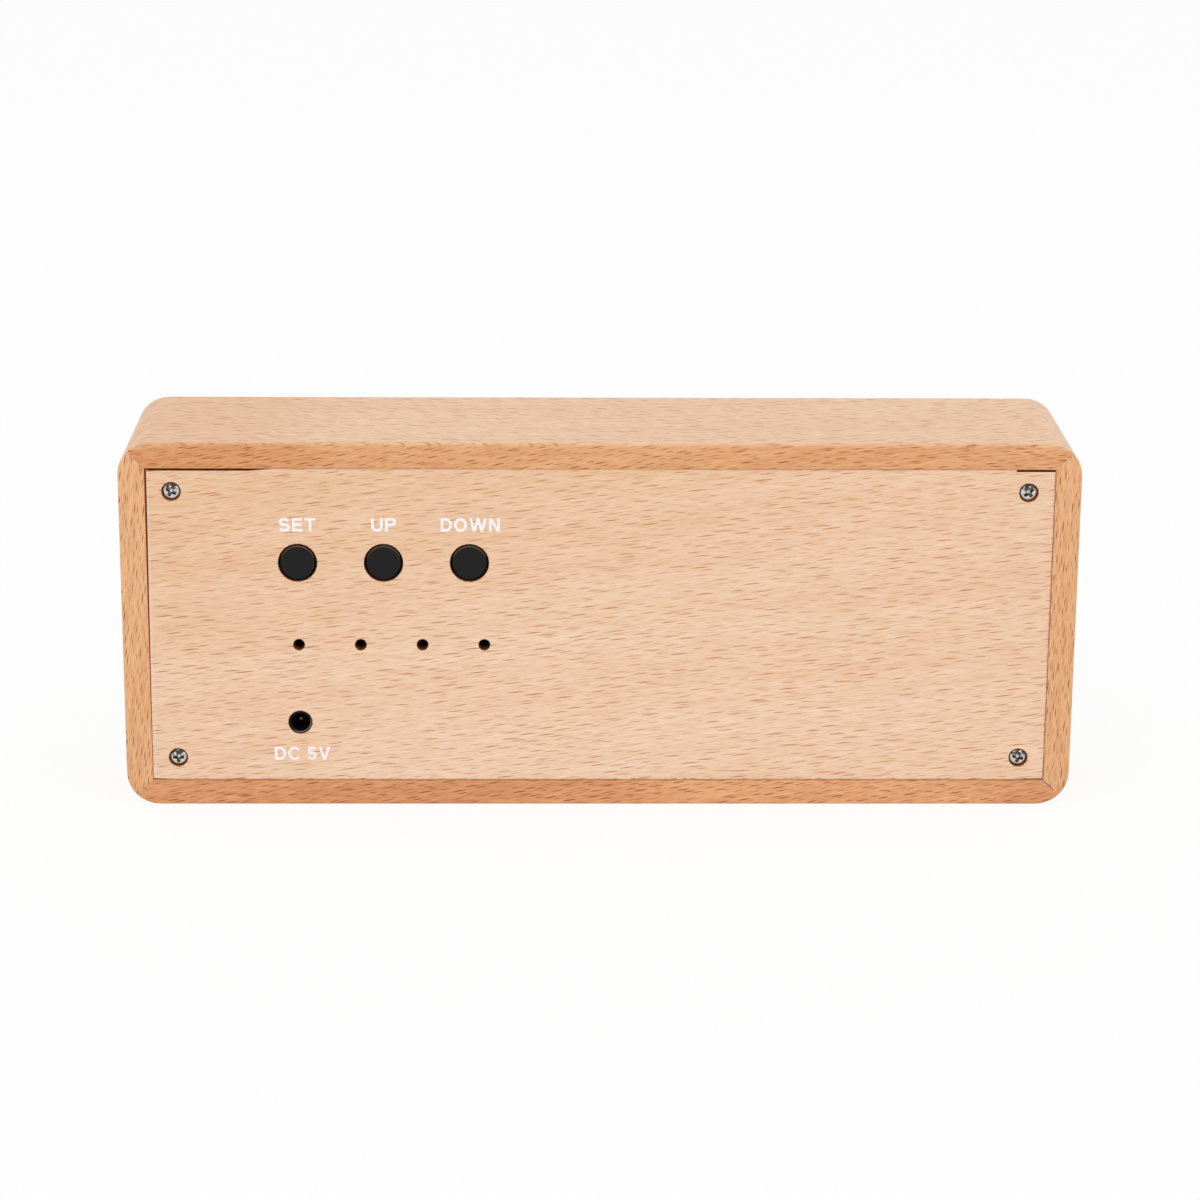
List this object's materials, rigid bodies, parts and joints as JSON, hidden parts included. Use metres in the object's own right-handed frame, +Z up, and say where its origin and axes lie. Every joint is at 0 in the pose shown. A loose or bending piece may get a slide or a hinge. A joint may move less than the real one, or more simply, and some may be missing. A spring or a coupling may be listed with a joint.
{
  "type": "wooden alarm clock",
  "caption": "Low beech desk alarm clock: mitred case, veneered face over a hidden segment display, and a screwed back with push buttons, sound holes and a power socket.",
  "frame": {"origin": "middle of the base, on the surface that the clock stands on", "axes": "+Z up, +X to the right as seen from the front, +Y from the face to the back"},
  "size_m": [0.2, 0.042, 0.079],
  "materials": {
    "beech_boards": "clear satin lacquer over beech",
    "beech_panel": "clear matt lacquer over pale beech veneer",
    "post_wood": "bare sawn wood",
    "button_black": "moulded, fine matt grain",
    "switch_black": "moulded",
    "plunger_tan": "moulded",
    "dome_steel": "pressed spring steel",
    "screw_nickel": "nickel plate",
    "jack_black": "moulded",
    "contact_tin": "tin plate",
    "buzzer_black": "moulded",
    "disc_brass": "rolled sheet",
    "board_green": "solder resist on glass laminate",
    "mask_white": "moulded",
    "diffuser_milk": "milky film",
    "lamp_white": "moulded lens",
    "chip_black": "moulded",
    "can_aluminium": "drawn can",
    "holder_black": "moulded",
    "cell_steel": "nickel-plated steel",
    "socket_cream": "moulded",
    "ribbon_grey": "extruded"
  },
  "bodies": {
    "case": {"top_board": "beech_boards", "bottom_board": "beech_boards", "left_board": "beech_boards", "right_board": "beech_boards", "back_panel": "beech_panel", "front_veneer": "beech_panel", "corner_posts": "post_wood", "key_battens": "post_wood", "set_switch": "switch_black", "up_switch": "switch_black", "down_switch": "switch_black", "set_dome": "dome_steel", "up_dome": "dome_steel", "down_dome": "dome_steel", "back_screws": "screw_nickel", "key_screws": "screw_nickel", "jack_body": "jack_black", "jack_pin": "contact_tin", "jack_contact": "contact_tin", "cell_clip": "contact_tin", "crystal_can": "contact_tin", "buzzer_case": "buzzer_black", "buzzer_disc": "disc_brass", "display_board": "board_green", "key_board": "board_green", "segment_mask": "mask_white", "diffuser_sheet": "diffuser_milk", "segment_leds": "lamp_white", "clock_chip": "chip_black", "filter_capacitor": "can_aluminium", "cell_holder": "holder_black", "coin_cell": "cell_steel", "display_socket": "socket_cream", "key_socket": "socket_cream", "ribbon_cable": "ribbon_grey"},
    "set_key": {"set_button": "button_black", "set_plunger": "plunger_tan"},
    "up_key": {"up_button": "button_black", "up_plunger": "plunger_tan"},
    "down_key": {"down_button": "button_black", "down_plunger": "plunger_tan"}
  },
  "joints": [
    {"name": "set_press", "type": "slide", "parent": "case", "child": "set_key", "axis": [0, -1, 0], "range_m": [0, 0.0004], "stiffness_N_per_m": 2500, "deforming": ["set_dome"]},
    {"name": "up_press", "type": "slide", "parent": "case", "child": "up_key", "axis": [0, -1, 0], "range_m": [0, 0.0004], "stiffness_N_per_m": 2500, "deforming": ["up_dome"]},
    {"name": "down_press", "type": "slide", "parent": "case", "child": "down_key", "axis": [0, -1, 0], "range_m": [0, 0.0004], "stiffness_N_per_m": 2500, "deforming": ["down_dome"]}
  ]
}
